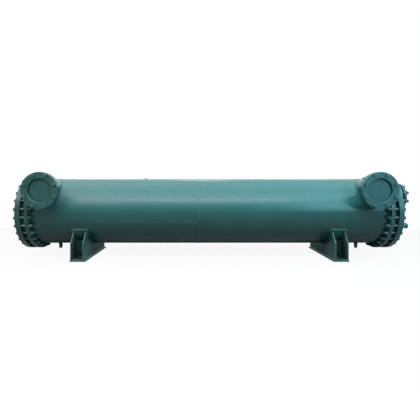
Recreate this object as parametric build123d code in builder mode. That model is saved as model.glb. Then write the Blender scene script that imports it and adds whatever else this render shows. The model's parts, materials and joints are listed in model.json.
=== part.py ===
from build123d import *
import os
from math import cos, radians, sin

# Horizontal shell and tube heat exchanger on two saddles, all sizes in millimetres.
# The origin is on the floor under the shell's axis, midway between the saddles.
# +X runs along the shell, -Y is the side of the two water nozzles, +Z is up.
os.makedirs("parts", exist_ok=True)

# General fits
seat_gap = 0.3
rim_chamfer = 2.0
neck_setback = 6.0
slip_on_clearance = 1.2
mouth_chamfer = 4.0

# Shell: two rolled courses butt welded off the middle
axis_height = 462.0
shell_diameter = 676.0
shell_wall = 8.0
shell_length = 3545.0
left_course_length = 1675.5

# Body flanges, covers and tubesheets, held by one ring of studs at each end
body_flange_width = 46.0
body_flange_thickness = 32.0
body_bolt_offset = 26.0
body_bolt_count = 28
body_bolt_hole = 22.0
gasket_thickness = 3.0
gasket_bolt_clearance = 4.0
tubesheet_thickness = 39.0
cover_thickness = 48.0
chamber_depth = 20.0
chamber_margin = 6.0
pass_rib_width = 12.0

# Water nozzles: horizontal necks set high on the front, almost level with the shell's top
nozzle_inset = 195.5
neck_top_drop = 4.45
nozzle_projection = 157.0
neck_diameter = 219.1
neck_wall = 8.0
nozzle_flange_diameter = 345.0
nozzle_flange_thickness = 24.0
nozzle_bolt_edge = 23.25
nozzle_bolt_count = 8
nozzle_bolt_hole = 22.0
nozzle_blank_thickness = 5.0

# Saddles: two side plates, two cross webs, a wear pad and a base plate that reaches
# further inwards than outwards
saddle_inset = 499.5
saddle_width = 129.0
saddle_plate = 10.0
saddle_depth = 730.0
saddle_shoulder_drop = 289.0
saddle_wrap = 113.5
web_inset = 165.0
pad_thickness = 8.0
pad_overhang = 11.0
pad_wrap = 123.5
pad_corner = 15.0
base_thickness = 10.0
base_inner_overhang = 17.5
base_outer_overhang = 2.0
base_end_overhang = 6.0
anchor_hole = 24.0
anchor_inset = 81.0

# Drain stubs under the shell: half coupling and hexagon plug
drain_inset = 199.0
drain_coupling_diameter = 38.0
drain_coupling_length = 28.0
drain_bore = 27.0
drain_plug_across_flats = 30.0
drain_plug_head = 28.0
drain_plug_shank = 20.0

# Gas outlet, high on the right cover
gas_rise = 151.0
gas_reach = 174.0
gas_neck_diameter = 139.7
gas_neck_wall = 6.0
gas_flange_diameter = 270.0
gas_flange_thickness = 24.0
gas_bolt_edge = 25.0
gas_bolt_count = 8
gas_bolt_hole = 26.0
gas_gasket_thickness = 2.0
gas_gasket_width = 22.0
gas_blank_thickness = 12.0

# Liquid inlet, low on the right cover
liquid_drop = 160.0
liquid_reach = 253.0
liquid_pipe_diameter = 48.3
liquid_pipe_wall = 3.6
liquid_cap_wall = 4.05
liquid_cap_length = 22.0
liquid_cap_end = 6.0
liquid_cap_chamfer = 3.0

# Low round plugs on the left course, one on the front and one on the top
front_boss_inset = 1163.5
front_boss_angle = 177.4
top_boss_inset = 1112.5
top_boss_angle = 90.0
boss_diameter = 34.0
boss_height = 5.0
boss_chamfer = 1.5

# Places along the shell, worked out from the sizes above
shell_radius = shell_diameter / 2
shell_inner_radius = shell_radius - shell_wall
shell_seat_radius = shell_radius + seat_gap
shell_end = shell_length / 2
girth_weld_x = left_course_length - shell_end
nozzle_from_middle = shell_end - nozzle_inset
saddle_from_middle = shell_end - saddle_inset
drain_from_middle = shell_end - drain_inset
tubesheet_face = shell_end + gasket_thickness
cover_gasket_face = tubesheet_face + tubesheet_thickness
cover_inner_face = cover_gasket_face + gasket_thickness
chamber_roof = cover_inner_face + chamber_depth
cover_outer_face = cover_inner_face + cover_thickness

# Body flange sizes
body_flange_radius = shell_radius + body_flange_width
body_bolt_circle = 2 * (shell_radius + body_bolt_offset)
inner_ring_radius = (body_bolt_circle - body_bolt_hole) / 2 - gasket_bolt_clearance
chamber_radius = shell_inner_radius - chamber_margin

# Nozzle sizes, counted out from the shell's axis
nozzle_rise = shell_radius - neck_diameter / 2 - neck_top_drop
nozzle_reach = shell_radius + nozzle_projection
neck_bore = neck_diameter - 2 * neck_wall
nozzle_bolt_circle = nozzle_flange_diameter - 2 * nozzle_bolt_edge
companion_back = nozzle_reach - nozzle_flange_thickness
companion_bore = neck_diameter + 2 * slip_on_clearance
nozzle_flange_face = companion_back - nozzle_blank_thickness
nozzle_flange_back = nozzle_flange_face - nozzle_flange_thickness
nozzle_blank_diameter = nozzle_bolt_circle - nozzle_bolt_hole - 2 * seat_gap

# Saddle sizes; heights are counted from the shell's axis
pad_radius = shell_seat_radius + pad_thickness
pad_width = saddle_width + 2 * pad_overhang
saddle_seat_radius = pad_radius + seat_gap
plate_foot = base_thickness - axis_height
web_length = saddle_width - 2 * saddle_plate
web_from_middle = saddle_depth / 2 - web_inset
base_width = saddle_width + base_inner_overhang + base_outer_overhang
base_shift = (base_inner_overhang - base_outer_overhang) / 2
base_depth = saddle_depth + 2 * base_end_overhang
anchor_spacing = base_depth - 2 * anchor_inset
drain_coupling_end = shell_radius + drain_coupling_length

# Gas outlet and liquid inlet, counted out from the right cover's outer face
gas_bolt_circle = gas_flange_diameter - 2 * gas_bolt_edge
gas_companion_back = gas_reach - gas_flange_thickness
gas_blank_face = gas_companion_back - gas_gasket_thickness
gas_blank_back = gas_blank_face - gas_blank_thickness
gas_flange_face = gas_blank_back - gas_gasket_thickness
gas_flange_back = gas_flange_face - gas_flange_thickness
gas_blank_diameter = gas_bolt_circle - gas_bolt_hole - 2 * seat_gap
gas_neck_bore = gas_neck_diameter - 2 * gas_neck_wall
gas_companion_bore = gas_neck_diameter + 2 * slip_on_clearance
liquid_pipe_bore = liquid_pipe_diameter - 2 * liquid_pipe_wall
liquid_cap_diameter = liquid_pipe_diameter + 2 * seat_gap + 2 * liquid_cap_wall
liquid_pipe_end = cover_outer_face + liquid_reach - liquid_cap_end

sides = (("left", -1), ("right", 1))


def across(x, rise=0.0):
    """Plane square to the shell's axis at x, facing +X, with its origin above that axis."""
    return Plane(origin=(x, 0, axis_height + rise), x_dir=(0, 1, 0), z_dir=(1, 0, 0))


def from_front(x, reach):
    """Plane facing the front, -Y, at a nozzle's height and a distance from the shell's axis."""
    centre = (x, -reach, axis_height + nozzle_rise)
    return Plane(origin=centre, x_dir=(1, 0, 0), z_dir=(0, -1, 0))


def below(x, drop):
    """Plane facing down at a distance under the shell's axis."""
    return Plane(origin=(x, 0, axis_height - drop), x_dir=(1, 0, 0), z_dir=(0, 0, -1))


def outward(x, angle):
    """Plane through the shell's axis facing out along an angle, measured from +Y up."""
    turn = radians(angle)
    return Plane(origin=(x, 0, axis_height), x_dir=(1, 0, 0), z_dir=(0, cos(turn), sin(turn)))


def cut_bolt_holes(bolt_circle, count, hole):
    """Cuts holes from the sketch being made, half a step off its centreline."""
    with PolarLocations(bolt_circle / 2, count, 180 / count):
        Circle(hole / 2, mode=Mode.SUBTRACT)


def cut_shell_seat(x, width):
    """Cuts the part being made to the shell's outside, over a width on both sides of x."""
    with Locations(across(x)):
        Cylinder(shell_seat_radius, 2 * width, mode=Mode.SUBTRACT)


# Shell courses with the nozzle and drain holes
for side, end in sides:
    with BuildPart() as shell_course:
        with BuildSketch(across(girth_weld_x)):
            Circle(shell_radius)
            Circle(shell_inner_radius, mode=Mode.SUBTRACT)
        extrude(amount=end * shell_end - girth_weld_x)
        with BuildSketch(from_front(end * nozzle_from_middle, 0)):
            Circle(neck_bore / 2)
        extrude(amount=shell_radius, mode=Mode.SUBTRACT)
        with BuildSketch(below(end * drain_from_middle, 0)):
            Circle(drain_bore / 2)
        extrude(amount=shell_radius, mode=Mode.SUBTRACT)
    shell_course.part.label = f"shell_course_{side}"
    export_step(shell_course.part, f"parts/shell_course_{side}.step")

# Ring flanges slipped over the shell ends, flush with them
for side, end in sides:
    with BuildPart() as shell_flange:
        with BuildSketch(across(end * shell_end)):
            Circle(body_flange_radius)
            Circle(shell_seat_radius, mode=Mode.SUBTRACT)
            cut_bolt_holes(body_bolt_circle, body_bolt_count, body_bolt_hole)
        extrude(amount=-end * body_flange_thickness)
        rims = shell_flange.edges().filter_by(GeomType.CIRCLE).group_by(SortBy.RADIUS)[-1]
        chamfer(rims, rim_chamfer)
    shell_flange.part.label = f"shell_flange_{side}"
    export_step(shell_flange.part, f"parts/shell_flange_{side}.step")

# Tubesheets inside the bolt circle, with a gasket on each face
for side, end in sides:
    with BuildPart() as tubesheet:
        with BuildSketch(across(end * tubesheet_face)):
            Circle(inner_ring_radius)
        extrude(amount=end * tubesheet_thickness)
    tubesheet.part.label = f"tubesheet_{side}"
    export_step(tubesheet.part, f"parts/tubesheet_{side}.step")

    for name, face in (("shell_gasket", shell_end), ("cover_gasket", cover_gasket_face)):
        with BuildPart() as gasket:
            with BuildSketch(across(end * face)):
                Circle(inner_ring_radius)
                Circle(shell_inner_radius, mode=Mode.SUBTRACT)
            extrude(amount=end * gasket_thickness)
        gasket.part.label = f"{name}_{side}"
        export_step(gasket.part, f"parts/{name}_{side}.step")

# End covers: thick plates with a shallow chamber. The right one has a pass rib
# between the gas outlet above and the liquid inlet below.
for side, end in sides:
    with BuildPart() as end_cover:
        with BuildSketch(across(end * cover_inner_face)):
            Circle(body_flange_radius)
            cut_bolt_holes(body_bolt_circle, body_bolt_count, body_bolt_hole)
        extrude(amount=end * cover_thickness)
        rims = end_cover.edges().filter_by(GeomType.CIRCLE).group_by(SortBy.RADIUS)[-1]
        chamfer(rims, rim_chamfer)
        with BuildSketch(across(end * cover_inner_face)):
            Circle(chamber_radius)
            if side == "right":
                Rectangle(2 * chamber_radius, pass_rib_width, mode=Mode.SUBTRACT)
        extrude(amount=end * chamber_depth, mode=Mode.SUBTRACT)
        if side == "right":
            with BuildSketch(across(cover_inner_face, gas_rise)):
                Circle(gas_neck_diameter / 2 + seat_gap)
            extrude(amount=cover_thickness, mode=Mode.SUBTRACT)
            with BuildSketch(across(cover_inner_face, -liquid_drop)):
                Circle(liquid_pipe_diameter / 2 + seat_gap)
            extrude(amount=cover_thickness, mode=Mode.SUBTRACT)
    end_cover.part.label = f"end_cover_{side}"
    export_step(end_cover.part, f"parts/end_cover_{side}.step")

# Water nozzles: neck cut to the shell, slip-on flange, blank and companion flange
for side, end in sides:
    nozzle_x = end * nozzle_from_middle

    with BuildPart() as nozzle_neck:
        with BuildSketch(from_front(nozzle_x, 0)):
            Circle(neck_diameter / 2)
            Circle(neck_bore / 2, mode=Mode.SUBTRACT)
        extrude(amount=nozzle_flange_face - neck_setback)
        cut_shell_seat(nozzle_x, neck_diameter)
    nozzle_neck.part.label = f"nozzle_neck_{side}"
    export_step(nozzle_neck.part, f"parts/nozzle_neck_{side}.step")

    with BuildPart() as nozzle_flange:
        with BuildSketch(from_front(nozzle_x, nozzle_flange_back)):
            Circle(nozzle_flange_diameter / 2)
            Circle(neck_diameter / 2 + seat_gap, mode=Mode.SUBTRACT)
            cut_bolt_holes(nozzle_bolt_circle, nozzle_bolt_count, nozzle_bolt_hole)
        extrude(amount=nozzle_flange_thickness)
    nozzle_flange.part.label = f"nozzle_flange_{side}"
    export_step(nozzle_flange.part, f"parts/nozzle_flange_{side}.step")

    with BuildPart() as nozzle_blank:
        with BuildSketch(from_front(nozzle_x, nozzle_flange_face)):
            Circle(nozzle_blank_diameter / 2)
        extrude(amount=nozzle_blank_thickness)
    nozzle_blank.part.label = f"nozzle_blank_{side}"
    export_step(nozzle_blank.part, f"parts/nozzle_blank_{side}.step")

    with BuildPart() as companion_flange:
        with BuildSketch(from_front(nozzle_x, companion_back)):
            Circle(nozzle_flange_diameter / 2)
            Circle(companion_bore / 2, mode=Mode.SUBTRACT)
            cut_bolt_holes(nozzle_bolt_circle, nozzle_bolt_count, nozzle_bolt_hole)
        extrude(amount=nozzle_flange_thickness)
        front_edges = companion_flange.edges().group_by(Axis.Y)[0].sort_by(SortBy.RADIUS)
        chamfer(front_edges[-1], rim_chamfer)
        chamfer(front_edges[-2], mouth_chamfer)
    companion_flange.part.label = f"companion_flange_{side}"
    export_step(companion_flange.part, f"parts/companion_flange_{side}.step")

# Drain stubs: half coupling cut to the shell, closed by a hexagon plug
for side, end in sides:
    drain_x = end * drain_from_middle

    with BuildPart() as drain_coupling:
        with BuildSketch(below(drain_x, 0)):
            Circle(drain_coupling_diameter / 2)
            Circle(drain_bore / 2, mode=Mode.SUBTRACT)
        extrude(amount=drain_coupling_end)
        cut_shell_seat(drain_x, drain_coupling_diameter)
    drain_coupling.part.label = f"drain_coupling_{side}"
    export_step(drain_coupling.part, f"parts/drain_coupling_{side}.step")

    with BuildPart() as drain_plug:
        with BuildSketch(below(drain_x, drain_coupling_end)):
            RegularPolygon(drain_plug_across_flats / 2, 6, major_radius=False)
        extrude(amount=drain_plug_head)
        with BuildSketch(below(drain_x, drain_coupling_end)):
            Circle(drain_bore / 2 - seat_gap)
        extrude(amount=-drain_plug_shank)
    drain_plug.part.label = f"drain_plug_{side}"
    export_step(drain_plug.part, f"parts/drain_plug_{side}.step")

# Saddles: wear pad, side plates shaped to the pad, cross webs and base plate
for side, end in sides:
    saddle_x = end * saddle_from_middle

    with BuildPart() as saddle_pad:
        with BuildSketch(across(saddle_x - pad_width / 2)):
            with BuildLine():
                inner = CenterArc((0, 0), shell_seat_radius, 270 - pad_wrap / 2, pad_wrap)
                outer = CenterArc((0, 0), pad_radius, 270 - pad_wrap / 2, pad_wrap)
                Line(inner @ 0, outer @ 0)
                Line(inner @ 1, outer @ 1)
            make_face()
        extrude(amount=pad_width)
        corners = saddle_pad.edges().filter_by(GeomType.LINE).filter_by(Axis.X, reverse=True)
        fillet(corners, pad_corner)
    saddle_pad.part.label = f"saddle_pad_{side}"
    export_step(saddle_pad.part, f"parts/saddle_pad_{side}.step")

    with BuildPart() as saddle_plates:
        with BuildSketch(across(saddle_x - saddle_width / 2)):
            with BuildLine():
                seat = CenterArc((0, 0), saddle_seat_radius, 270 - saddle_wrap / 2, saddle_wrap)
                Polyline(
                    seat @ 0,
                    (-saddle_depth / 2, -saddle_shoulder_drop),
                    (-saddle_depth / 2, plate_foot),
                    (saddle_depth / 2, plate_foot),
                    (saddle_depth / 2, -saddle_shoulder_drop),
                    seat @ 1,
                )
            make_face()
        extrude(amount=saddle_plate)
        mirror(about=across(saddle_x))
    saddle_plates.part.label = f"saddle_plates_{side}"
    export_step(saddle_plates.part, f"parts/saddle_plates_{side}.step")

    with BuildPart() as saddle_webs:
        with BuildSketch(across(saddle_x - web_length / 2)):
            with Locations((-web_from_middle, plate_foot), (web_from_middle, plate_foot)):
                Rectangle(saddle_plate, -plate_foot, align=(Align.CENTER, Align.MIN))
            Circle(saddle_seat_radius, mode=Mode.SUBTRACT)
        extrude(amount=web_length)
    saddle_webs.part.label = f"saddle_webs_{side}"
    export_step(saddle_webs.part, f"parts/saddle_webs_{side}.step")

    with BuildPart() as saddle_base:
        with BuildSketch(Plane.XY):
            with Locations((saddle_x - end * base_shift, 0)):
                Rectangle(base_width, base_depth)
            with Locations((saddle_x, -anchor_spacing / 2), (saddle_x, anchor_spacing / 2)):
                Circle(anchor_hole / 2, mode=Mode.SUBTRACT)
        extrude(amount=base_thickness)
    saddle_base.part.label = f"saddle_base_{side}"
    export_step(saddle_base.part, f"parts/saddle_base_{side}.step")

# Gas outlet: neck set through the right cover, flange, gasketed blank, companion flange
with BuildPart() as gas_outlet_neck:
    with BuildSketch(across(chamber_roof, gas_rise)):
        Circle(gas_neck_diameter / 2)
        Circle(gas_neck_bore / 2, mode=Mode.SUBTRACT)
    extrude(amount=cover_outer_face + gas_flange_face - neck_setback - chamber_roof)
gas_outlet_neck.part.label = "gas_outlet_neck"
export_step(gas_outlet_neck.part, "parts/gas_outlet_neck.step")

with BuildPart() as gas_outlet_flange:
    with BuildSketch(across(cover_outer_face + gas_flange_back, gas_rise)):
        Circle(gas_flange_diameter / 2)
        Circle(gas_neck_diameter / 2 + seat_gap, mode=Mode.SUBTRACT)
        cut_bolt_holes(gas_bolt_circle, gas_bolt_count, gas_bolt_hole)
    extrude(amount=gas_flange_thickness)
gas_outlet_flange.part.label = "gas_outlet_flange"
export_step(gas_outlet_flange.part, "parts/gas_outlet_flange.step")

with BuildPart() as gas_outlet_gaskets:
    for back in (gas_flange_face, gas_blank_face):
        with BuildSketch(across(cover_outer_face + back, gas_rise)):
            Circle(gas_blank_diameter / 2)
            Circle(gas_blank_diameter / 2 - gas_gasket_width, mode=Mode.SUBTRACT)
        extrude(amount=gas_gasket_thickness)
gas_outlet_gaskets.part.label = "gas_outlet_gaskets"
export_step(gas_outlet_gaskets.part, "parts/gas_outlet_gaskets.step")

with BuildPart() as gas_outlet_blank:
    with BuildSketch(across(cover_outer_face + gas_blank_back, gas_rise)):
        Circle(gas_blank_diameter / 2)
    extrude(amount=gas_blank_thickness)
gas_outlet_blank.part.label = "gas_outlet_blank"
export_step(gas_outlet_blank.part, "parts/gas_outlet_blank.step")

with BuildPart() as gas_outlet_companion:
    with BuildSketch(across(cover_outer_face + gas_companion_back, gas_rise)):
        Circle(gas_flange_diameter / 2)
        Circle(gas_companion_bore / 2, mode=Mode.SUBTRACT)
        cut_bolt_holes(gas_bolt_circle, gas_bolt_count, gas_bolt_hole)
    extrude(amount=gas_flange_thickness)
    end_edges = gas_outlet_companion.edges().group_by(Axis.X)[-1].sort_by(SortBy.RADIUS)
    chamfer(end_edges[-1], rim_chamfer)
    chamfer(end_edges[-2], mouth_chamfer)
gas_outlet_companion.part.label = "gas_outlet_companion"
export_step(gas_outlet_companion.part, "parts/gas_outlet_companion.step")

# Liquid inlet: pipe set through the right cover, closed by a round cap
with BuildPart() as liquid_inlet_pipe:
    with BuildSketch(across(chamber_roof, -liquid_drop)):
        Circle(liquid_pipe_diameter / 2)
        Circle(liquid_pipe_bore / 2, mode=Mode.SUBTRACT)
    extrude(amount=liquid_pipe_end - chamber_roof)
liquid_inlet_pipe.part.label = "liquid_inlet_pipe"
export_step(liquid_inlet_pipe.part, "parts/liquid_inlet_pipe.step")

with BuildPart() as liquid_inlet_cap:
    with BuildSketch(across(cover_outer_face + liquid_reach, -liquid_drop)):
        Circle(liquid_cap_diameter / 2)
    extrude(amount=-liquid_cap_length)
    chamfer(liquid_inlet_cap.edges().group_by(Axis.X)[-1], liquid_cap_chamfer)
    with BuildSketch(across(liquid_pipe_end, -liquid_drop)):
        Circle(liquid_pipe_diameter / 2 + seat_gap)
    extrude(amount=-liquid_cap_length, mode=Mode.SUBTRACT)
liquid_inlet_cap.part.label = "liquid_inlet_cap"
export_step(liquid_inlet_cap.part, "parts/liquid_inlet_cap.step")

# Low round plugs on the left course
bosses = (
    ("shell_boss_front", front_boss_inset - shell_end, front_boss_angle),
    ("shell_boss_top", top_boss_inset - shell_end, top_boss_angle),
)
for name, x, angle in bosses:
    face = outward(x, angle)
    with BuildPart() as shell_boss:
        with BuildSketch(face):
            Circle(boss_diameter / 2)
        extrude(amount=shell_radius + boss_height)
        crown = shell_boss.edges().sort_by(Axis(face.origin, face.z_dir))[-1]
        chamfer(crown, boss_chamfer)
        cut_shell_seat(x, boss_diameter)
    shell_boss.part.label = name
    export_step(shell_boss.part, f"parts/{name}.step")
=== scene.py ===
"""Paint, bolts, weld beads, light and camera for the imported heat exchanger, in metres."""
import json
import math

import bpy
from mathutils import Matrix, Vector


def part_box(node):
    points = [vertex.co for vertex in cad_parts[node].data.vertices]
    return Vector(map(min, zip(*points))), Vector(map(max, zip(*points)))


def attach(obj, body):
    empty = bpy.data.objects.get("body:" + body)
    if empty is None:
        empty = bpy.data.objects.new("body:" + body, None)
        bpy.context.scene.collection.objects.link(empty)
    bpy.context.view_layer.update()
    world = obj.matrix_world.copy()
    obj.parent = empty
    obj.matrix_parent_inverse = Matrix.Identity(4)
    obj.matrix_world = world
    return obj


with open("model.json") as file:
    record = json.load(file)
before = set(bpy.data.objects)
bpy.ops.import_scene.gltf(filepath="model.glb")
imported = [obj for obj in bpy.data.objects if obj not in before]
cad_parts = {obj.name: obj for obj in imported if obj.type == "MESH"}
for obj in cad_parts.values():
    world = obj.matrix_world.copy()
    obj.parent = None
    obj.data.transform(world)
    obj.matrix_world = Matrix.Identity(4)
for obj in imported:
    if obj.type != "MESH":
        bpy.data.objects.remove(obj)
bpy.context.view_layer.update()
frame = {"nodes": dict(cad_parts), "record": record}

sides = (("left", -1), ("right", 1))
mounts = {mount["name"]: mount for mount in frame["record"]["mounts"]}

# Shell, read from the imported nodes
course_low, course_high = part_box("shell_course_left")
axis_height = (course_low.z + course_high.z) / 2
shell_radius = (course_high.z - course_low.z) / 2
girth_weld_x = course_high.x

# Body flanges and covers
flange_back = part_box("shell_flange_right")[0].x
cover_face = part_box("end_cover_right")[1].x
body_bolt_circle = 0.728
body_bolt_count = 28

# Water nozzles
water_mount = mounts["water_bolts_left"]
water_face = water_mount["pos_m"]
water_bolt_circle = water_mount["dims"]["pcd_mm"] / 1000
water_bolt_count = water_mount["dims"]["count"]
nozzle_x = -water_face[0]
nozzle_height = water_face[2]
nozzle_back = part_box("nozzle_flange_left")[1].y
neck_low, neck_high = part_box("nozzle_neck_left")
neck_radius = (neck_high.x - neck_low.x) / 2

# Gas outlet and liquid inlet
gas_neck_low, gas_neck_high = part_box("gas_outlet_neck")
gas_radius = (gas_neck_high.z - gas_neck_low.z) / 2
gas_height = (gas_neck_high.z + gas_neck_low.z) / 2
gas_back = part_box("gas_outlet_flange")[0].x
gas_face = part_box("gas_outlet_companion")[1].x
gas_bolt_circle = 0.220
gas_bolt_count = 8
pipe_low, pipe_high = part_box("liquid_inlet_pipe")
pipe_radius = (pipe_high.z - pipe_low.z) / 2
pipe_height = (pipe_high.z + pipe_low.z) / 2

# Saddles
pad_low, pad_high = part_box("saddle_pad_right")
pad_gap = 0.0003
pad_thickness = 0.008
pad_outer = shell_radius + pad_gap + pad_thickness
pad_wrap = math.radians(123.5)
pad_corner = 0.015
half_pad_width = (pad_high.x - pad_low.x) / 2
half_pad_length = shell_radius * pad_wrap / 2
plates_low, plates_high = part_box("saddle_plates_right")
saddle_x = (plates_low.x + plates_high.x) / 2
saddle_plate = 0.010
saddle_wrap = math.radians(113.5)
half_saddle = (plates_high.x - plates_low.x) / 2
webs_low, webs_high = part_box("saddle_webs_right")
web_y = (webs_high.y - webs_low.y - saddle_plate) / 2
base_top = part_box("saddle_base_right")[1].z

# Drains
coupling_low, coupling_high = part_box("drain_coupling_right")
drain_x = (coupling_low.x + coupling_high.x) / 2
drain_radius = (coupling_high.x - coupling_low.x) / 2


# Node trees

def feed(tree, socket, value):
    """Links an output to a socket, or sets the socket's own value."""
    if isinstance(value, bpy.types.NodeSocket):
        tree.links.new(value, socket)
    else:
        socket.default_value = value


def add(tree, kind, inputs=None, **options):
    """Adds a node, sets its options and feeds its inputs, which are named or numbered."""
    node = tree.nodes.new(kind)
    for option, value in options.items():
        setattr(node, option, value)
    for name, value in (inputs or {}).items():
        feed(tree, node.inputs[name], value)
    return node


def maths(tree, operation, *values):
    """Adds a Math node and returns its result."""
    node = add(tree, "ShaderNodeMath", operation=operation)
    for socket, value in zip(node.inputs, values):
        feed(tree, socket, value)
    return node.outputs[0]


def product(tree, first, *factors):
    """Multiplies values, two at a time."""
    for factor in factors:
        first = maths(tree, "MULTIPLY", first, factor)
    return first


def new_tree(name, kind, takes, gives):
    """Makes a node group, and returns it with the sockets of its two end nodes.

    takes maps each input's label to the number it starts at, or to its socket type, or to both.
    gives maps each output's label to its socket type."""
    tree = bpy.data.node_groups.new(name, kind)
    for label, start in takes.items():
        if isinstance(start, str):
            tree.interface.new_socket(label, in_out="INPUT", socket_type=start)
            continue
        socket_type, start = start if isinstance(start, tuple) else ("NodeSocketFloat", start)
        tree.interface.new_socket(label, in_out="INPUT", socket_type=socket_type).default_value = start
    for label, socket_type in gives.items():
        tree.interface.new_socket(label, in_out="OUTPUT", socket_type=socket_type)
    return tree, tree.nodes.new("NodeGroupInput").outputs, tree.nodes.new("NodeGroupOutput").inputs


def use(tree, group, **inputs):
    """Places a group in a tree of its kind. Underscores in the input names stand for spaces."""
    node = add(tree, tree.bl_idname.replace("Tree", "Group"), node_tree=group)
    for name, value in inputs.items():
        feed(tree, node.inputs[name.replace("_", " ")], value)
    return node.outputs


def ramp(tree, value, low, high, to_low=0.0, to_high=1.0):
    """Maps a value smoothly from one range to another."""
    inputs = {0: value, 1: low, 2: high, 3: to_low, 4: to_high}
    return add(tree, "ShaderNodeMapRange", inputs, interpolation_type="SMOOTHSTEP").outputs[0]


def blend(tree, factor, first, second):
    """Mixes two colours."""
    return add(tree, "ShaderNodeMix", {0: factor, 6: first, 7: second}, data_type="RGBA").outputs[2]


def vector(tree, **parts):
    """A vector from its X, Y and Z, each nought unless it is given."""
    return add(tree, "ShaderNodeCombineXYZ", parts).outputs[0]


def split(tree, whole):
    """The X, Y and Z of a vector."""
    return add(tree, "ShaderNodeSeparateXYZ", {0: whole}).outputs


def noise(tree, place, scale, detail, roughness=0.5):
    """Noise between nought and one at a place."""
    return add(tree, "ShaderNodeTexNoise", {
        "Vector": place, "Scale": scale, "Detail": detail, "Roughness": roughness}).outputs["Fac"]


def own_place(tree):
    """The point's place in the object's own frame."""
    return add(tree, "ShaderNodeTexCoord").outputs["Object"]


def true_normal(tree):
    """The surface's own direction, before any bump."""
    return add(tree, "ShaderNodeNewGeometry").outputs["Normal"]


def facing_up(tree):
    """One where the surface faces up, nought where it is upright and minus one underneath."""
    return split(tree, true_normal(tree))["Z"]


def bump(tree, height, strength, distance, **normal):
    """The surface's direction once a height is pressed into it."""
    return add(tree, "ShaderNodeBump", {
        "Strength": strength, "Distance": distance, "Height": height, **normal}).outputs[0]


# Shader groups that several paints share

def make_paint_film():
    """Orange peel of sprayed paint, and the soft change of tone from one pass to the next."""
    tree, given, result = new_tree(
        "paint_film", "ShaderNodeTree", {"Peel Scale": 400.0, "Tone Scale": 3.0},
        {"Height": "NodeSocketFloat", "Tone": "NodeSocketFloat"})
    place = own_place(tree)
    feed(tree, result["Height"], noise(tree, place, given["Peel Scale"], 1.0))
    feed(tree, result["Tone"], noise(tree, place, given["Tone Scale"], 4.0, 0.6))
    return tree


def make_rolled_plate():
    """Long shallow bands that plate rollers leave along a shell, as a height."""
    tree, given, result = new_tree(
        "rolled_plate", "ShaderNodeTree", {"Axis Height": 0.0, "Bands": 5.0, "Stretch": 0.25},
        {"Height": "NodeSocketFloat"})
    place = split(tree, own_place(tree))
    rise = maths(tree, "SUBTRACT", place["Z"], given["Axis Height"])
    angle = maths(tree, "ARCTAN2", rise, place["Y"])
    unrolled = vector(tree, X=product(tree, place["X"], given["Stretch"]),
                      Y=product(tree, angle, given["Bands"]))
    feed(tree, result["Height"], noise(tree, unrolled, 1.0, 1.5))
    return tree


def make_dust_and_sheen():
    """Pale dust and a painted sheen where a surface faces up, thinner where it has been wiped, as a
    mask.
    """
    tree, given, result = new_tree(
        "dust_and_sheen", "ShaderNodeTree",
        {"Amount": 0.3, "Starts At": 0.15, "Full At": 0.6, "Patch Scale": 6.0, "Along": 1.0,
         "Wiped": 0.28}, {"Mask": "NodeSocketFloat"})
    up = ramp(tree, facing_up(tree), given["Starts At"], given["Full At"])
    drawn_out = add(tree, "ShaderNodeVectorMath", {
        0: own_place(tree), 1: vector(tree, X=given["Along"], Y=1.0, Z=1.0)},
        operation="MULTIPLY").outputs[0]
    patches = noise(tree, drawn_out, given["Patch Scale"], 4.0, 0.55)
    thinnest = maths(tree, "SUBTRACT", 1.0, given["Wiped"])
    wiped = ramp(tree, patches, 0.70, 0.30, 1.0, thinnest)
    feed(tree, result["Mask"], product(tree, up, wiped, given["Amount"]))
    return tree


def make_edge_wear():
    """Thin paint along sharp edges, broken up by small nicks, as a mask."""
    tree, given, result = new_tree(
        "edge_wear", "ShaderNodeTree", {"Width": 0.003, "Amount": 0.6, "Nick Scale": 60.0},
        {"Mask": "NodeSocketFloat"})
    rounded = add(tree, "ShaderNodeBevel", {"Radius": given["Width"]}, samples=4).outputs[0]
    match = add(tree, "ShaderNodeVectorMath", {0: rounded, 1: true_normal(tree)},
                operation="DOT_PRODUCT").outputs["Value"]
    edge = ramp(tree, match, 0.995, 0.90)
    nicks = noise(tree, own_place(tree), given["Nick Scale"], 4.0, 0.7)
    broken = ramp(tree, nicks, 0.35, 0.60, 0.35, 1.0)
    feed(tree, result["Mask"], product(tree, edge, broken, given["Amount"]))
    return tree


def make_floor_grime():
    """Splashed dirt that fades out above the floor, as a mask."""
    tree, given, result = new_tree(
        "floor_grime", "ShaderNodeTree", {"Height": 0.12, "Amount": 0.5, "Scale": 25.0},
        {"Mask": "NodeSocketFloat"})
    place = own_place(tree)
    low = maths(tree, "SUBTRACT", 1.0, ramp(tree, split(tree, place)["Z"], 0.0, given["Height"]))
    broken = ramp(tree, noise(tree, place, given["Scale"], 6.0, 0.7), 0.38, 0.62)
    feed(tree, result["Mask"], product(tree, low, broken, given["Amount"]))
    return tree


def make_end_to_end():
    """How far along the object a point lies: nought at the left end, one at the right."""
    tree, given, result = new_tree(
        "end_to_end", "ShaderNodeTree", {"Half Length": 1.8}, {"Along": "NodeSocketFloat"})
    share = maths(tree, "DIVIDE", split(tree, own_place(tree))["X"], given["Half Length"])
    along = add(tree, "ShaderNodeMapRange", {0: share, 1: -1.0, 2: 1.0}).outputs[0]
    feed(tree, result["Along"], along)
    return tree


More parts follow.
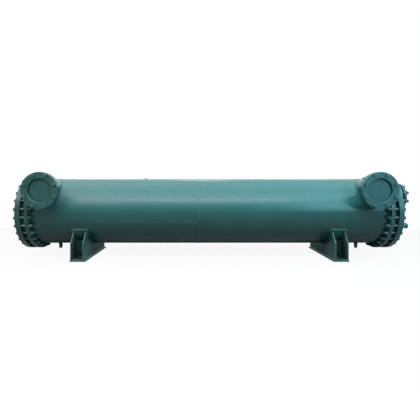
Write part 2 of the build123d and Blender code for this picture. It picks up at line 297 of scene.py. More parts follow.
def make_painted_corner_shade():
    """Painted shade in corners and narrow gaps, darkest where nearby surfaces close in, as a mask."""
    tree, given, result = new_tree(
        "painted_corner_shade", "ShaderNodeTree",
        {"Reach": 0.06, "Amount": 0.8, "Starts At": 0.75, "Full At": 0.30, "Scale": 30.0,
         "Clear On Top": 0.0}, {"Mask": "NodeSocketFloat"})
    open_sky = add(tree, "ShaderNodeAmbientOcclusion", {"Distance": given["Reach"]}, samples=8)
    shade_breakup = noise(tree, own_place(tree), given["Scale"], 4.0, 0.6)
    uneven = maths(tree, "MULTIPLY_ADD", shade_breakup, 0.24, -0.12)
    openness = maths(tree, "ADD", open_sky.outputs["AO"], uneven)
    closed = ramp(tree, openness, given["Starts At"], given["Full At"])
    # The painted shade is kept off surfaces that face up, where the light falls
    on_top = product(tree, ramp(tree, facing_up(tree), 0.1, 0.5), given["Clear On Top"])
    left_over = maths(tree, "SUBTRACT", 1.0, on_top)
    feed(tree, result["Mask"], product(tree, closed, left_over, given["Amount"]))
    return tree


paint_film = make_paint_film()
rolled_plate = make_rolled_plate()
dust_and_sheen = make_dust_and_sheen()
edge_wear = make_edge_wear()
floor_grime = make_floor_grime()
end_to_end = make_end_to_end()
painted_corner_shade = make_painted_corner_shade()

# Colours of the finishes
teal = (0.009, 0.082, 0.077, 1)
teal_light = (0.012, 0.100, 0.096, 1)
# Painted light and shade of the flanges: darker and greener at the left end, lighter and bluer at the
# right
shaded_left_teal = (0.010, 0.068, 0.060, 1)
lit_right_teal = (0.011, 0.098, 0.106, 1)
thin_teal = (0.06, 0.17, 0.17, 1)
# Dust and painted sheen on the tops, the second a bluish sheen for the right end
dust_sheen_colour = (0.140, 0.26, 0.27, 1)
bluish_sheen_colour = (0.058, 0.28, 0.30, 1)
grime_colour = (0.115, 0.128, 0.112, 1)
# Near black, the painted shade in corners and gaps
painted_shade_colour = (0.004, 0.007, 0.006, 1)
# Painted shade for surfaces that face down
painted_underside_shade = (0.018, 0.040, 0.029, 1)
# Zinc of chipped bolts, and the pale grey of the painted highlight on the studs' tops
zinc_and_highlight_grey = (0.56, 0.58, 0.60, 1)
dark_stud_colour = (0.014, 0.018, 0.018, 1)
sheet_black = (0.018, 0.019, 0.020, 1)
sheet_fibre = (0.07, 0.075, 0.078, 1)


def new_material(name, specular):
    """A material with a Principled shader, with its tree and the shader's inputs."""
    material = bpy.data.materials.new(name)
    material.use_nodes = True
    surface = material.node_tree.nodes["Principled BSDF"].inputs
    surface["Specular IOR Level"].default_value = specular
    return material, material.node_tree, surface


def dust_sheen_colour_along(tree):
    """The colour of dust and painted sheen, greyer at the left end and bluer at the right."""
    return blend(tree, use(tree, end_to_end)["Along"], dust_sheen_colour, bluish_sheen_colour)


def paint_underside_shade(tree, colour, amount):
    """The same colour, turning to a painted shade where the surface faces down."""
    downward = ramp(tree, facing_up(tree), 0.10, -0.35, 0.0, amount)
    return blend(tree, downward, colour, painted_underside_shade)


def make_shell_paint():
    """Semi-gloss paint on rolled plate: banded reflections, fine orange peel, dust with a painted sheen
    on top, and painted shade underneath and in corners.
    """
    material, tree, surface = new_material("teal_paint_on_rolled_plate", specular=0.24)
    film = use(tree, paint_film, Peel_Scale=330.0, Tone_Scale=1.7)
    bands = use(tree, rolled_plate, Axis_Height=axis_height, Bands=5.5, Stretch=0.30)
    # Dust and a painted sheen over the upper part of the shell, reaching down to nearly upright
    # surfaces
    dust_sheen = use(tree, dust_and_sheen, Amount=0.48, Starts_At=-0.02, Full_At=0.40, Patch_Scale=6.0,
               Along=0.05, Wiped=0.05)
    # Painted shade in corners and gaps
    corner_shade = use(tree, painted_corner_shade, Reach=0.10, Amount=0.6, Starts_At=0.70, Full_At=0.30, Scale=9.0)
    clean = blend(tree, ramp(tree, film["Tone"], 0.3, 0.7), teal, teal_light)
    with_dust_sheen = blend(tree, dust_sheen["Mask"], clean, dust_sheen_colour_along(tree))
    # Painted shade where the shell faces down
    dull = paint_underside_shade(tree, with_dust_sheen, 0.38)
    feed(tree, surface["Base Color"], blend(tree, corner_shade["Mask"], dull, painted_shade_colour))
    gloss = ramp(tree, film["Tone"], 0.3, 0.7, 0.19, 0.25)
    feed(tree, surface["Roughness"], maths(tree, "ADD", gloss, product(tree, dust_sheen["Mask"], 0.10)))
    rolled = bump(tree, bands["Height"], 1.0, 0.0022)
    feed(tree, surface["Normal"], bump(tree, film["Height"], 0.07, 0.001, Normal=rolled))
    return material


def make_flange_paint():
    """Semi-gloss paint on machined plate, thin along the rims, with dust and painted sheen on top,
    painted shade in gaps, and painted light and shade from end to end.
    """
    material, tree, surface = new_material("teal_paint_on_machined_plate", specular=0.30)
    film = use(tree, paint_film, Peel_Scale=420.0, Tone_Scale=9.0)
    dust_sheen = use(tree, dust_and_sheen, Amount=0.38, Starts_At=0.10, Full_At=0.6, Patch_Scale=14.0)
    wear = use(tree, edge_wear, Width=0.0032, Amount=0.62, Nick_Scale=55.0)
    # Painted shade in the gaps and recesses, kept off surfaces that face up
    corner_shade = use(tree, painted_corner_shade, Reach=0.05, Amount=0.72, Starts_At=0.85, Full_At=0.45,
               Clear_On_Top=0.85)
    # Painted light and shade: darker and greener at the left end, lighter and bluer at the right, with
    # a random tone
    tone = ramp(tree, film["Tone"], 0.3, 0.7, -0.15, 0.15)
    right_light_and_tone = maths(tree, "ADD", use(tree, end_to_end)["Along"], tone)
    clean = blend(tree, right_light_and_tone, shaded_left_teal, lit_right_teal)
    with_dust_sheen = blend(tree, dust_sheen["Mask"], clean, dust_sheen_colour_along(tree))
    worn = blend(tree, wear["Mask"], with_dust_sheen, thin_teal)
    feed(tree, surface["Base Color"], blend(tree, corner_shade["Mask"], worn, painted_shade_colour))
    gloss = ramp(tree, film["Tone"], 0.3, 0.7, 0.25, 0.34)
    feed(tree, surface["Roughness"], maths(tree, "MULTIPLY_ADD", corner_shade["Mask"], 0.4, gloss))
    feed(tree, surface["Normal"], bump(tree, film["Height"], 0.16, 0.001))
    return material


def make_saddle_paint():
    """Satin paint on cut plate, worn along its edges and dirty towards the floor, with dust and painted
    sheen on top and painted shade inside and in its corners.
    """
    material, tree, surface = new_material("teal_paint_on_cut_plate", specular=0.28)
    film = use(tree, paint_film, Peel_Scale=300.0, Tone_Scale=7.0)
    dust_sheen = use(tree, dust_and_sheen, Amount=0.32, Starts_At=0.10, Full_At=0.7, Patch_Scale=12.0)
    wear = use(tree, edge_wear, Width=0.0038, Amount=0.50, Nick_Scale=40.0)
    grime = use(tree, floor_grime, Height=0.60, Amount=0.50, Scale=22.0)
    # Painted shade inside the saddle and in its corners
    corner_shade = use(tree, painted_corner_shade, Reach=0.18, Amount=0.90, Starts_At=0.38, Full_At=0.22, Scale=12.0)
    clean = blend(tree, ramp(tree, film["Tone"], 0.3, 0.7), teal, teal_light)
    with_dust_sheen = blend(tree, dust_sheen["Mask"], clean, dust_sheen_colour)
    splashed = blend(tree, grime["Mask"], with_dust_sheen, grime_colour)
    worn = blend(tree, wear["Mask"], splashed, thin_teal)
    feed(tree, surface["Base Color"], blend(tree, corner_shade["Mask"], worn, painted_shade_colour))
    dull = maths(tree, "MAXIMUM", grime["Mask"], corner_shade["Mask"])
    feed(tree, surface["Roughness"], maths(tree, "MULTIPLY_ADD", dull, 0.45, 0.36))
    feed(tree, surface["Normal"], bump(tree, film["Height"], 0.2, 0.001))
    return material


def make_bolt_paint():
    """Glossy paint over zinc plated bolts, chipped to bright metal on the corners, with dust and
    painted sheen on top and painted shade in corners.
    """
    material, tree, surface = new_material("teal_paint_on_zinc", specular=0.4)
    film = use(tree, paint_film, Peel_Scale=500.0, Tone_Scale=30.0)
    dust_sheen = use(tree, dust_and_sheen, Amount=0.24, Starts_At=0.3, Full_At=0.9, Patch_Scale=30.0)
    wear = use(tree, edge_wear, Width=0.0012, Amount=0.55, Nick_Scale=140.0)
    # Painted shade in the bolts' corners
    corner_shade = use(tree, painted_corner_shade, Reach=0.02, Amount=0.75, Starts_At=0.70, Full_At=0.35, Scale=60.0)
    clean = blend(tree, ramp(tree, film["Tone"], 0.35, 0.65), teal, teal_light)
    with_dust_sheen = blend(tree, dust_sheen["Mask"], clean, dust_sheen_colour)
    worn = blend(tree, wear["Mask"], with_dust_sheen, zinc_and_highlight_grey)
    feed(tree, surface["Base Color"], blend(tree, corner_shade["Mask"], worn, painted_shade_colour))
    feed(tree, surface["Metallic"], wear["Mask"])
    feed(tree, surface["Roughness"], ramp(tree, film["Tone"], 0.3, 0.7, 0.22, 0.32))
    feed(tree, surface["Normal"], bump(tree, film["Height"], 0.15, 0.0006))
    return material


def make_stud_with_painted_highlight():
    """Dark studs with a painted highlight of pale grey along their tops."""
    material, tree, surface = new_material("dark_stud_painted_highlight", specular=0.35)
    film = use(tree, paint_film, Peel_Scale=700.0, Tone_Scale=60.0)
    # Painted highlight: pale grey along the studs' tops
    dust_sheen = use(tree, dust_and_sheen, Amount=0.85, Starts_At=0.45, Full_At=0.85, Patch_Scale=40.0)
    dark_stud = blend(tree, ramp(tree, film["Tone"], 0.3, 0.7), dark_stud_colour, teal)
    feed(tree, surface["Base Color"], blend(tree, dust_sheen["Mask"], dark_stud, zinc_and_highlight_grey))
    feed(tree, surface["Roughness"], ramp(tree, film["Tone"], 0.3, 0.7, 0.40, 0.55))
    feed(tree, surface["Normal"], bump(tree, film["Height"], 0.2, 0.0005))
    return material


def make_weld_paint():
    """The same paint over weld beads, with painted shade underneath and in corners, and dust with a
    painted sheen on top like the shell.
    """
    material, tree, surface = new_material("teal_paint_on_weld", specular=0.35)
    film = use(tree, paint_film, Peel_Scale=600.0, Tone_Scale=25.0)
    dust_sheen = use(tree, dust_and_sheen, Amount=0.48, Starts_At=-0.02, Full_At=0.40, Patch_Scale=20.0,
               Wiped=0.15)
    # Painted shade in corners
    corner_shade = use(tree, painted_corner_shade, Reach=0.05, Amount=0.85, Starts_At=0.60, Full_At=0.30)
    clean = blend(tree, ramp(tree, film["Tone"], 0.35, 0.65), teal, teal_light)
    with_dust_sheen = blend(tree, dust_sheen["Mask"], clean, dust_sheen_colour_along(tree))
    # Painted shade where the bead faces down
    dull = paint_underside_shade(tree, with_dust_sheen, 0.45)
    feed(tree, surface["Base Color"], blend(tree, corner_shade["Mask"], dull, painted_shade_colour))
    feed(tree, surface["Roughness"], ramp(tree, film["Tone"], 0.3, 0.7, 0.24, 0.36))
    feed(tree, surface["Normal"], bump(tree, film["Height"], 0.35, 0.0008))
    return material


def make_gasket_sheet():
    """Matt black gasket sheet with pale fibres and a rough cut edge."""
    material, tree, surface = new_material("black_gasket_sheet", specular=0.25)
    film = use(tree, paint_film, Peel_Scale=900.0, Tone_Scale=120.0)
    fibre = ramp(tree, film["Tone"], 0.55, 0.72)
    feed(tree, surface["Base Color"], blend(tree, fibre, sheet_black, sheet_fibre))
    feed(tree, surface["Roughness"], ramp(tree, film["Tone"], 0.3, 0.7, 0.65, 0.85))
    feed(tree, surface["Normal"], bump(tree, film["Height"], 0.5, 0.0005))
    return material


shell_paint = make_shell_paint()
flange_paint = make_flange_paint()
saddle_paint = make_saddle_paint()
bolt_paint = make_bolt_paint()
stud_with_painted_highlight = make_stud_with_painted_highlight()
weld_paint = make_weld_paint()
gasket_sheet = make_gasket_sheet()

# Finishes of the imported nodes, by the material slot that the record gives them
finishes = {"shell_paint": shell_paint, "flange_paint": flange_paint,
            "saddle_paint": saddle_paint, "gasket": gasket_sheet}
for subpart in frame["record"]["subparts"]:
    for material_slot in frame["nodes"][subpart["node"]].material_slots:
        material_slot.material = finishes[subpart["material_slot"]]


# Bolts, studs and nuts

def cylinder(tree, corners, radius, depth, segments=1):
    """A closed cylinder about Z, with its middle at the origin."""
    return add(tree, "GeometryNodeMeshCylinder", {
        "Vertices": corners, "Side Segments": segments, "Radius": radius,
        "Depth": depth}).outputs["Mesh"]


def lift(tree, geometry, height, flip=False):
    """Moves a shape up to a height, turned upside down first if asked."""
    move = {"Geometry": geometry, "Translation": vector(tree, Z=height)}
    if flip:
        move["Rotation"] = (math.pi, 0, 0)
    return add(tree, "GeometryNodeTransform", move).outputs[0]


def join(tree, *shapes):
    """Puts shapes together as one."""
    node = add(tree, "GeometryNodeJoinGeometry")
    for shape in shapes:
        tree.links.new(shape, node.inputs[0])
    return node.outputs[0]


def paint_solid(tree, geometry, finish):
    """Turns instances into real faces and gives them all one material."""
    solid = add(tree, "GeometryNodeRealizeInstances", {"Geometry": geometry}).outputs[0]
    return add(tree, "GeometryNodeSetMaterial", {"Geometry": solid, "Material": finish}).outputs[0]


def make_hex_block():
    """Geometry group: a hexagon standing on Z = 0 with its top corners turned off at 30 degrees."""
    tree, given, result = new_tree(
        "hex_block", "GeometryNodeTree", {"Across Flats": 0.030, "Height": 0.013},
        {"Geometry": "NodeSocketGeometry"})
    face_share = 0.475
    corner_radius = maths(tree, "DIVIDE", given["Across Flats"], math.sqrt(3))
    prism = cylinder(tree, 6, corner_radius, given["Height"])
    standing = lift(tree, prism, product(tree, given["Height"], 0.5))
    face_radius = product(tree, given["Across Flats"], face_share)
    foot_radius = maths(tree, "MULTIPLY_ADD", given["Height"], math.sqrt(3), face_radius)
    turning = add(tree, "GeometryNodeMeshCone", {
        "Vertices": 24, "Radius Top": face_radius, "Radius Bottom": foot_radius,
        "Depth": given["Height"]})
    turned = add(tree, "GeometryNodeMeshBoolean", operation="INTERSECT", solver="EXACT")
    tree.links.new(standing, turned.inputs["Mesh 2"])
    tree.links.new(turning.outputs["Mesh"], turned.inputs["Mesh 2"])
    feed(tree, result["Geometry"], turned.outputs["Mesh"])
    return tree


def make_threaded_rod():
    """Geometry group: a rod standing on Z = 0 with raised thread rings and a turned-off tip."""
    tree, given, result = new_tree(
        "threaded_rod", "GeometryNodeTree", {"Radius": 0.010, "Length": 0.030, "Pitch": 0.0025},
        {"Geometry": "NodeSocketGeometry"})
    groove_share, tip_share = 0.11, 0.14
    half_pitch = product(tree, given["Pitch"], 0.5)
    steps = maths(tree, "ROUND", maths(tree, "DIVIDE", given["Length"], half_pitch))
    full_length = product(tree, steps, half_pitch)
    rod = cylinder(tree, 14, given["Radius"], full_length, steps)
    place = split(tree, add(tree, "GeometryNodeInputPosition").outputs[0])
    from_foot = maths(tree, "MULTIPLY_ADD", full_length, 0.5, place["Z"])
    groove = maths(tree, "PINGPONG", maths(tree, "DIVIDE", from_foot, half_pitch), 1.0)
    to_tip = maths(tree, "SUBTRACT", full_length, from_foot)
    tip = ramp(tree, to_tip, given["Pitch"], 0.0, 0.0, tip_share)
    cut = maths(tree, "MULTIPLY_ADD", groove, -groove_share, 1.0)
    shrink = maths(tree, "SUBTRACT", cut, tip)
    threaded = add(tree, "GeometryNodeSetPosition", {
        "Geometry": rod, "Position": vector(
            tree, X=product(tree, place["X"], shrink), Y=product(tree, place["Y"], shrink),
            Z=from_foot)})
    feed(tree, result["Geometry"], threaded.outputs[0])
    return tree


hex_block = make_hex_block()
threaded_rod = make_threaded_rod()


def make_bolt_ring():
    """Geometry tree: a ring of bolts about Z. Nuts sit at Z = 0 and point down, heads at the grip."""
    tree, given, result = new_tree("bolt_ring", "GeometryNodeTree", {
        "Bolt Circle": 0.72, "Count": ("NodeSocketInt", 28), "Grip": 0.125, "Shank Radius": 0.010,
        "Pitch": 0.0025, "Across Flats": 0.030, "Head Height": 0.013, "Nut Height": 0.018,
        "Washer Thickness": 0.003, "Reach": 0.045, "Head Reach": 0.0,
        "Centre": "NodeSocketVector", "Turn": "NodeSocketRotation", "Seed": ("NodeSocketInt", 1),
        "Paint": "NodeSocketMaterial", "Stud Finish": "NodeSocketMaterial",
    }, {"Geometry": "NodeSocketGeometry"})
    tree.is_modifier = True

    circle = add(tree, "GeometryNodeMeshCircle", {
        "Vertices": given["Count"], "Radius": product(tree, given["Bolt Circle"], 0.5)}).outputs[0]
    half_step = maths(tree, "DIVIDE", math.pi, given["Count"])
    holes = add(tree, "GeometryNodeTransform", {
        "Geometry": circle, "Rotation": vector(tree, Z=half_step)}).outputs[0]

    washer_to_shank = 1.85
    washer_radius = product(tree, given["Shank Radius"], washer_to_shank)
    washer = cylinder(tree, 20, washer_radius, given["Washer Thickness"])
    shank = cylinder(tree, 16, given["Shank Radius"], given["Grip"])
    rod = use(tree, threaded_rod, Radius=given["Shank Radius"], Length=given["Reach"],
              Pitch=given["Pitch"])[0]
    head_rod = use(tree, threaded_rod, Radius=given["Shank Radius"], Length=given["Head Reach"],
                   Pitch=given["Pitch"])[0]
    has_head_rod = add(tree, "FunctionNodeCompare", {
        0: given["Head Reach"], 1: 0.001}, operation="GREATER_THAN").outputs[0]
    head_rod = add(tree, "GeometryNodeSwitch", {
        "Switch": has_head_rod, "True": head_rod}, input_type="GEOMETRY").outputs[0]
    stud = add(tree, "GeometryNodeStoreNamedAttribute", {
        "Geometry": join(tree, lift(tree, shank, product(tree, given["Grip"], 0.5)),
                         lift(tree, rod, 0.0, flip=True), lift(tree, head_rod, given["Grip"])),
        "Name": "bare_stud", "Value": True}, data_type="BOOLEAN", domain="FACE").outputs[0]
    straight = join(tree, stud, lift(tree, washer, product(tree, given["Washer Thickness"], -0.5)))
    head = lift(tree, use(tree, hex_block, Across_Flats=given["Across Flats"],
                          Height=given["Head Height"])[0], given["Grip"])
    nut = lift(tree, use(tree, hex_block, Across_Flats=given["Across Flats"],
                         Height=given["Nut Height"])[0],
               product(tree, given["Washer Thickness"], -1.0), flip=True)

    def spread(part, seed_step):
        """Puts a part at each hole, each turned as the spanner left it."""
        inputs = {"Points": holes, "Instance": part}
        if seed_step:
            seed = maths(tree, "ADD", given["Seed"], seed_step)
            angle = add(tree, "FunctionNodeRandomValue", {
                "Min": 0.0, "Max": math.pi / 3, "Seed": seed}, data_type="FLOAT")
            angle = next(output for output in angle.outputs if output.enabled)
            inputs["Rotation"] = vector(tree, Z=angle)
        return add(tree, "GeometryNodeInstanceOnPoints", inputs).outputs[0]

    ring = join(tree, spread(straight, 0), spread(head, 1), spread(nut, 2))
    placed = add(tree, "GeometryNodeTransform", {
        "Geometry": ring, "Translation": given["Centre"], "Rotation": given["Turn"]}).outputs[0]
    is_stud = add(tree, "GeometryNodeInputNamedAttribute", {"Name": "bare_stud"},
                  data_type="BOOLEAN").outputs[0]
    finished = add(tree, "GeometryNodeSetMaterial", {
        "Geometry": paint_solid(tree, placed, given["Paint"]), "Selection": is_stud,
        "Material": given["Stud Finish"]})
    feed(tree, result["Geometry"], finished.outputs[0])
    return tree


def make_weld_bead():
    """Geometry tree: a rippled bead along each edge path, as thick as the path's own radius."""
    tree, given, result = new_tree("weld_bead", "GeometryNodeTree", {
        "Geometry": "NodeSocketGeometry", "Ripple": 0.005, "Ripple Depth": 0.10, "Wander": 0.14,
        "Facets": ("NodeSocketInt", 8), "Paint": "NodeSocketMaterial",
    }, {"Geometry": "NodeSocketGeometry"})
    tree.is_modifier = True
    path = add(tree, "GeometryNodeMeshToCurve", {"Mesh": given["Geometry"]}).outputs[0]
    stepped = add(tree, "GeometryNodeResampleCurve", {
        "Curve": path, "Length": product(tree, given["Ripple"], 0.5)}, mode="LENGTH")
    crest = maths(tree, "MODULO", add(tree, "GeometryNodeInputIndex").outputs[0], 2.0)
    ripple = product(tree, crest, given["Ripple Depth"])
    place = add(tree, "GeometryNodeInputPosition").outputs[0]
    uneven = maths(tree, "SUBTRACT", noise(tree, place, 45.0, 2.0), 0.5)
    wander = product(tree, uneven, given["Wander"])
    swell = maths(tree, "ADD", maths(tree, "ADD", 1.0, ripple), wander)
    own_radius = add(tree, "GeometryNodeInputNamedAttribute", {"Name": "bead_radius"},
                     data_type="FLOAT").outputs[0]
    profile = add(tree, "GeometryNodeCurvePrimitiveCircle", {
        "Resolution": given["Facets"], "Radius": 1.0}).outputs[0]
    bead = add(tree, "GeometryNodeCurveToMesh", {
        "Curve": stepped.outputs[0], "Profile Curve": profile,
        "Scale": product(tree, own_radius, swell), "Fill Caps": True}).outputs[0]
    smooth = add(tree, "GeometryNodeSetShadeSmooth", {"Geometry": bead}).outputs[0]
    feed(tree, result["Geometry"], paint_solid(tree, smooth, given["Paint"]))
    return tree


bolt_ring = make_bolt_ring()
weld_bead = make_weld_bead()


def grow(name, tree, settings, mesh=None):
    """Runs a geometry tree, keeps its result as a plain mesh and hangs the piece under the root body.
    """
    piece = bpy.data.objects.new(name, mesh or bpy.data.meshes.new(name))
    bpy.context.scene.collection.objects.link(piece)
    modifier = piece.modifiers.new(tree.name, "NODES")
    modifier.node_group = tree
    for item in tree.interface.items_tree:
        if item.in_out == "INPUT" and item.name in settings:
            modifier[item.identifier] = settings[item.name]
    shapes = bpy.context.evaluated_depsgraph_get()
    made = bpy.data.meshes.new_from_object(
        piece.evaluated_get(shapes), preserve_all_data_layers=True, depsgraph=shapes)
    piece.modifiers.clear()
    piece.data = made
    made.name = name
    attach(piece, "root")
    return piece


# Both sizes of bolt. Reach is the thread past the nut's seat, Head Reach past the head's
m20 = {"Shank Radius": 0.010, "Pitch": 0.0025, "Across Flats": 0.030, "Head Height": 0.0125,
       "Nut Height": 0.018, "Washer Thickness": 0.003, "Paint": bolt_paint,
       "Stud Finish": stud_with_painted_highlight}
m24 = {"Shank Radius": 0.012, "Pitch": 0.003, "Across Flats": 0.036, "Head Height": 0.0215,
       "Nut Height": 0.0215, "Washer Thickness": 0.004, "Paint": bolt_paint,
       "Stud Finish": stud_with_painted_highlight}

# Body studs, with a nut on the cover and one on the shell side of the flange
for side, end in sides:
    grow(f"body_studs_{side}", bolt_ring, {
        **m20, "Bolt Circle": body_bolt_circle, "Count": body_bolt_count,
        "Grip": cover_face - flange_back, "Head Height": 0.016, "Head Reach": 0.019,
        "Reach": 0.037, "Centre": (end * flange_back, 0, axis_height),
        "Turn": (0, end * math.pi / 2, 0), "Seed": 20 + end})

# Nozzle bolts: heads on the companion flange, nuts behind the nozzle's own flange
for side, end in sides:
    grow(f"nozzle_bolts_{side}", bolt_ring, {
        **m20, "Bolt Circle": water_bolt_circle, "Count": water_bolt_count,
        "Grip": nozzle_back - water_face[1], "Reach": 0.031,
        "Centre": (end * nozzle_x, nozzle_back, nozzle_height),
        "Turn": (math.pi / 2, 0, 0), "Seed": 30 + end})

# Gas outlet studs, with a nut at both ends
grow("gas_outlet_studs", bolt_ring, {
    **m24, "Bolt Circle": gas_bolt_circle, "Count": gas_bolt_count, "Grip": gas_face - gas_back,
    "Reach": 0.032, "Head Reach": 0.033, "Centre": (gas_back, 0, gas_height),
    "Turn": (0, math.pi / 2, 0), "Seed": 41})


# Weld beads

class BeadPaths:
    """Edge paths for weld beads, each with its own bead radius."""

    def __init__(self):
        self.points, self.edges, self.radii = [], [], []

    def run(self, points, bead, closed=False):
        """Adds one path through the points."""
        first = len(self.points)
        self.points += points
        self.radii += [bead] * len(points)
        self.edges += [(first + i, first + i + 1) for i in range(len(points) - 1)]
        if closed:
            self.edges.append((len(self.points) - 1, first))

    def ring(self, centre, radius, axis, bead, corners=96):
        """Adds a circle about the X, Y or Z axis."""
        others = [i for i in range(3) if i != axis]
        points = []
        for step in range(corners):
            angle = 2 * math.pi * step / corners
            point = Vector(centre)
            point[others[0]] += radius * math.cos(angle)
            point[others[1]] += radius * math.sin(angle)
            points.append(point)
        self.run(points, bead, closed=True)

    def grow(self, name, material_slot, **settings):
        """Turns the paths into one piece of beads."""
        mesh = bpy.data.meshes.new(name)
        mesh.from_pydata(self.points, self.edges, [])
        attribute = mesh.attributes.new("bead_radius", "FLOAT", "POINT")
        attribute.data.foreach_set("value", self.radii)
        named = {label.replace("_", " "): value for label, value in settings.items()}
        return grow(name, weld_bead, {"Paint": weld_paint, **named}, mesh)


def on_shell(x, angle, radius=shell_radius):
    """A point about the shell's axis, its angle measured from +Y up."""
    return Vector((x, radius * math.cos(angle), axis_height + radius * math.sin(angle)))


# Bead radii, and the axes that rings are drawn about
seam_bead = 0.007
fillet_bead = 0.006
neck_bead = 0.005
plate_bead = 0.0045
fitting_bead = 0.004
x_axis, y_axis = 0, 1

# Shell: a butt weld round the middle, one flatter long seam in each course, and the flange fillets
girth_rise = 0.0028
seam_rise = 0.0008
girth_radius = shell_radius - seam_bead + girth_rise
seam_radius = shell_radius - seam_bead + seam_rise
left_seam_angle = math.radians(180 + 13.8)
right_seam_angle = math.radians(-11.6)
shell_seams = BeadPaths()
shell_seams.ring((girth_weld_x, 0, axis_height), girth_radius, x_axis, seam_bead, corners=128)
for start_x, end_x, angle in ((-flange_back, girth_weld_x, left_seam_angle),
                              (girth_weld_x, flange_back, right_seam_angle)):
    shell_seams.run([on_shell(start_x, angle, seam_radius), on_shell(end_x, angle, seam_radius)],
                    seam_bead)
shell_seams.grow("shell_seam_welds", "shell_paint", Ripple=0.006, Ripple_Depth=0.05, Wander=0.06)

flange_fillets = BeadPaths()
for side, end in sides:
    flange_fillets.ring((end * flange_back, 0, axis_height), shell_radius, x_axis, fillet_bead, 128)
flange_fillets.grow("shell_flange_welds", "shell_paint", Ripple=0.006)

# Nozzles: the bead where the neck meets the shell, and the one behind the flange
neck_corners = 120
for side, end in sides:
    neck_beads = BeadPaths()
    neck_foot = []
    for step in range(neck_corners):
        angle = 2 * math.pi * step / neck_corners
        x = end * nozzle_x + neck_radius * math.cos(angle)
        z = nozzle_height + neck_radius * math.sin(angle)
        y = -math.sqrt(max(shell_radius ** 2 - (z - axis_height) ** 2, 0))
        neck_foot.append(Vector((x, y, z)))
    neck_beads.run(neck_foot, fillet_bead, closed=True)
    neck_beads.ring((end * nozzle_x, nozzle_back, nozzle_height), neck_radius, y_axis, neck_bead)
    neck_beads.grow(f"nozzle_welds_{side}", "shell_paint", Ripple=0.005)


def pad_outline(centre_x):
    """The edge of a saddle pad on the shell, with its four corners rounded."""
    def on_pad(across, along):
        """A point on the shell, measured from the pad's middle."""
        return on_shell(centre_x + across, -math.pi / 2 + along / shell_radius)

    outline = []
    corner_steps, end_steps, side_steps = 6, 4, 24
    straight_across = half_pad_width - pad_corner
    straight_along = half_pad_length - pad_corner
    for across_sign, along_sign, start in ((1, 1, 0), (-1, 1, 90), (-1, -1, 180), (1, -1, 270)):
        for step in range(corner_steps + 1):
            turn = math.radians(start + 90 / corner_steps * step)
            across = across_sign * straight_across + pad_corner * math.cos(turn)
            along = along_sign * straight_along + pad_corner * math.sin(turn)
            outline.append(on_pad(across, along))
        if start in (0, 180):
            outline += [on_pad(across - across_sign * 2 * straight_across * i / end_steps,
                               along_sign * half_pad_length) for i in range(1, end_steps)]
        else:
            outline += [on_pad(across_sign * half_pad_width,
                               along - along_sign * 2 * straight_along * i / side_steps)
                        for i in range(1, side_steps)]
    return outline


# Saddles: pad edge, plates to the pad, plates and webs to the base
arc_steps = 40
inner = half_saddle - saddle_plate
for side, end in sides:
    centre_x = end * saddle_x
    saddle_beads = BeadPaths()
    saddle_beads.run(pad_outline(centre_x), plate_bead, closed=True)
    for face in (half_saddle, inner):
        for hand in (-1, 1):
            x = centre_x + hand * face
            saddle_beads.run([on_shell(x, -math.pi / 2 + saddle_wrap * (i / arc_steps - 0.5), pad_outer)
                              for i in range(arc_steps + 1)], plate_bead)
            saddle_beads.run([Vector((x, plates_low.y, base_top)),
                              Vector((x, plates_high.y, base_top))], plate_bead)
    for web in (-web_y, web_y):
        for hand in (-1, 1):
            y = web + hand * saddle_plate / 2
            top = axis_height - math.sqrt(pad_outer ** 2 - y ** 2)
            saddle_beads.run([Vector((centre_x - inner, y, base_top)),
                              Vector((centre_x + inner, y, base_top))], plate_bead)
            for corner in (-inner, inner):
                x = centre_x + corner
                saddle_beads.run([Vector((x, y, base_top)), Vector((x, y, top))], plate_bead)
    saddle_beads.grow(f"saddle_welds_{side}", "saddle_paint", Ripple=0.006)

# Small fittings: drains, gas neck and its flange, liquid inlet
drain_corners = 32
small_beads = BeadPaths()
for side, end in sides:
    rim = []
    for step in range(drain_corners):
        angle = 2 * math.pi * step / drain_corners
        x = end * drain_x + drain_radius * math.cos(angle)
        y = drain_radius * math.sin(angle)
        rim.append(Vector((x, y, axis_height - math.sqrt(shell_radius ** 2 - y ** 2))))
    small_beads.run(rim, fitting_bead, closed=True)
small_beads.ring((cover_face, 0, gas_height), gas_radius, x_axis, neck_bead)
small_beads.ring((gas_back, 0, gas_height), gas_radius, x_axis, plate_bead)
small_beads.ring((cover_face, 0, pipe_height), pipe_radius, x_axis, fitting_bead, 48)
small_beads.grow("fitting_welds", "flange_paint", Ripple=0.004)


# Floor and world: white where the camera or a reflection sees them, plain grey as light

def pale_view(tree):
    """One where a camera, glossy or transmission ray looks, else nought."""
    path = add(tree, "ShaderNodeLightPath").outputs
    seen = maths(tree, "MAXIMUM", path["Is Camera Ray"], path["Is Glossy Ray"])
    return maths(tree, "MAXIMUM", seen, path["Is Transmission Ray"])


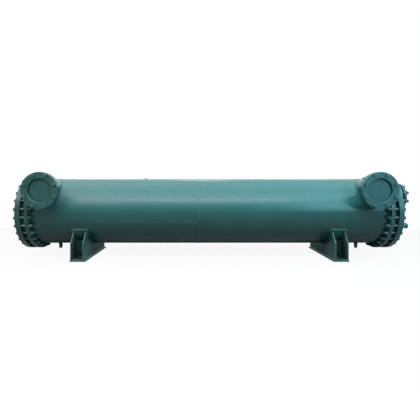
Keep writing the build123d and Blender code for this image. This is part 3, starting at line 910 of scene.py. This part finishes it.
def make_studio_floor():
    """Pale floor that keeps the object's shadow, bounces little light and fades to plain white."""
    fade_from, fade_to = 2.6, 4.2
    camera_paleness = 0.92
    material = bpy.data.materials.new("pale_floor")
    material.use_nodes = True
    tree = material.node_tree
    tree.nodes.clear()
    dull = add(tree, "ShaderNodeBsdfDiffuse", {"Color": (0.10, 0.10, 0.10, 1)})
    lit = add(tree, "ShaderNodeBsdfDiffuse", {"Color": (0.65, 0.65, 0.65, 1)})
    white = add(tree, "ShaderNodeEmission", {"Color": (1, 1, 1, 1), "Strength": 1.0})
    distance = add(tree, "ShaderNodeVectorMath", {0: own_place(tree)}, operation="LENGTH")
    far = ramp(tree, distance.outputs["Value"], fade_from, fade_to)
    camera_ray = add(tree, "ShaderNodeLightPath").outputs["Is Camera Ray"]
    soften = maths(tree, "MAXIMUM", far, product(tree, camera_ray, camera_paleness))
    pale = add(tree, "ShaderNodeMixShader", {0: soften, 1: lit.outputs[0], 2: white.outputs[0]})
    whole = add(tree, "ShaderNodeMixShader", {
        0: pale_view(tree), 1: dull.outputs[0], 2: pale.outputs[0]})
    out = add(tree, "ShaderNodeOutputMaterial")
    tree.links.new(whole.outputs[0], out.inputs["Surface"])
    return material


half_floor = 30.0
floor_mesh = bpy.data.meshes.new("floor")
floor_mesh.from_pydata(
    [(-half_floor, -half_floor, 0), (half_floor, -half_floor, 0),
     (half_floor, half_floor, 0), (-half_floor, half_floor, 0)], [], [(0, 1, 2, 3)])
floor_mesh.materials.append(make_studio_floor())
floor = bpy.data.objects.new("floor", floor_mesh)
bpy.context.scene.collection.objects.link(floor)

world = bpy.data.worlds.new("plain_studio")
bpy.context.scene.world = world
world.use_nodes = True
world_tree = world.node_tree
background = world_tree.nodes["Background"].inputs
room_light = 0.04
feed(world_tree, background["Strength"],
     maths(world_tree, "MAXIMUM", pale_view(world_tree), room_light))
background["Color"].default_value = (1, 1, 1, 1)


def soft_lamp(name, place, target, width, length, radiance, colour):
    """A rectangular lamp of even brightness, unseen by the camera."""
    light = bpy.data.lights.new(name, "AREA")
    light.shape = "RECTANGLE"
    light.size, light.size_y = width, length
    light.energy = radiance * math.pi * width * length
    light.color = colour
    lamp = bpy.data.objects.new(name, light)
    lamp.location = place
    lamp.rotation_euler = (Vector(target) - Vector(place)).to_track_quat("-Z", "Y").to_euler()
    lamp.visible_camera = False
    bpy.context.scene.collection.objects.link(lamp)


# Strips that face straight down. The last two hang a little lower than the ones they overlap,
# because lamps at one height hide each other in reflections
for name, place, width, length, radiance, colour in (
        ("overhead_far", (0, -4.6, 3.4), 14.0, 2.4, 2.0, (1.0, 0.93, 0.88)),
        ("overhead_front", (0, -2.9, 3.4), 14.0, 1.0, 0.6, (1, 1, 1)),
        ("overhead_near", (0, -1.9, 3.4), 14.0, 1.0, 3.0, (1, 1, 1)),
        ("overhead", (0, 0, 3.4), 14.0, 2.8, 1.1, (0.97, 0.98, 1.0)),
        ("above_middle", (0.3, -3.0, 3.3), 3.4, 0.4, 17.0, (0.97, 0.99, 1.0)),
        ("above_left", (-3.9, -3.0, 3.3), 5.0, 0.4, 14.0, (1.0, 0.88, 0.80))):
    soft_lamp(name, place, (place[0], place[1], 0), width, length, radiance, colour)

# Lamps turned towards the shell
shell_middle = (0, 0, axis_height)
shell_right = (1.5, 0, axis_height)
soft_lamp("front_right", (4.5, -7.0, 2.6), shell_middle, 3.0, 2.0, 10.5, (0.38, 0.78, 1.0))
soft_lamp("above_right", (3.0, -2.4, 3.2), shell_right, 1.6, 1.0, 3.4, (0.38, 0.95, 1.0))
soft_lamp("behind_middle", (0.1, 5.0, 4.6), shell_middle, 1.6, 0.8, 2.6, (0.92, 0.98, 1.0))
soft_lamp("behind", (0, 7.0, 2.2), shell_middle, 8.0, 2.0, 1.0, (0.60, 0.96, 1.0))

# Camera: level, in front of the shell, a little left of its middle
photo_width = 420
focal_pixels = 338.0
level_point = (197.75, 184.07)
camera_data = bpy.data.cameras.new("camera")
camera_data.sensor_width = 36.0
camera_data.lens = focal_pixels / photo_width * camera_data.sensor_width
camera_data.shift_x = (photo_width / 2 - level_point[0]) / photo_width
camera_data.shift_y = (level_point[1] - photo_width / 2) / photo_width
camera = bpy.data.objects.new("camera", camera_data)
camera.location = (-0.112, -3.608, 0.746)
camera.rotation_euler = (math.pi / 2, 0, 0)
bpy.context.scene.collection.objects.link(camera)
bpy.context.scene.camera = camera

bpy.context.scene.view_settings.view_transform = "Standard"
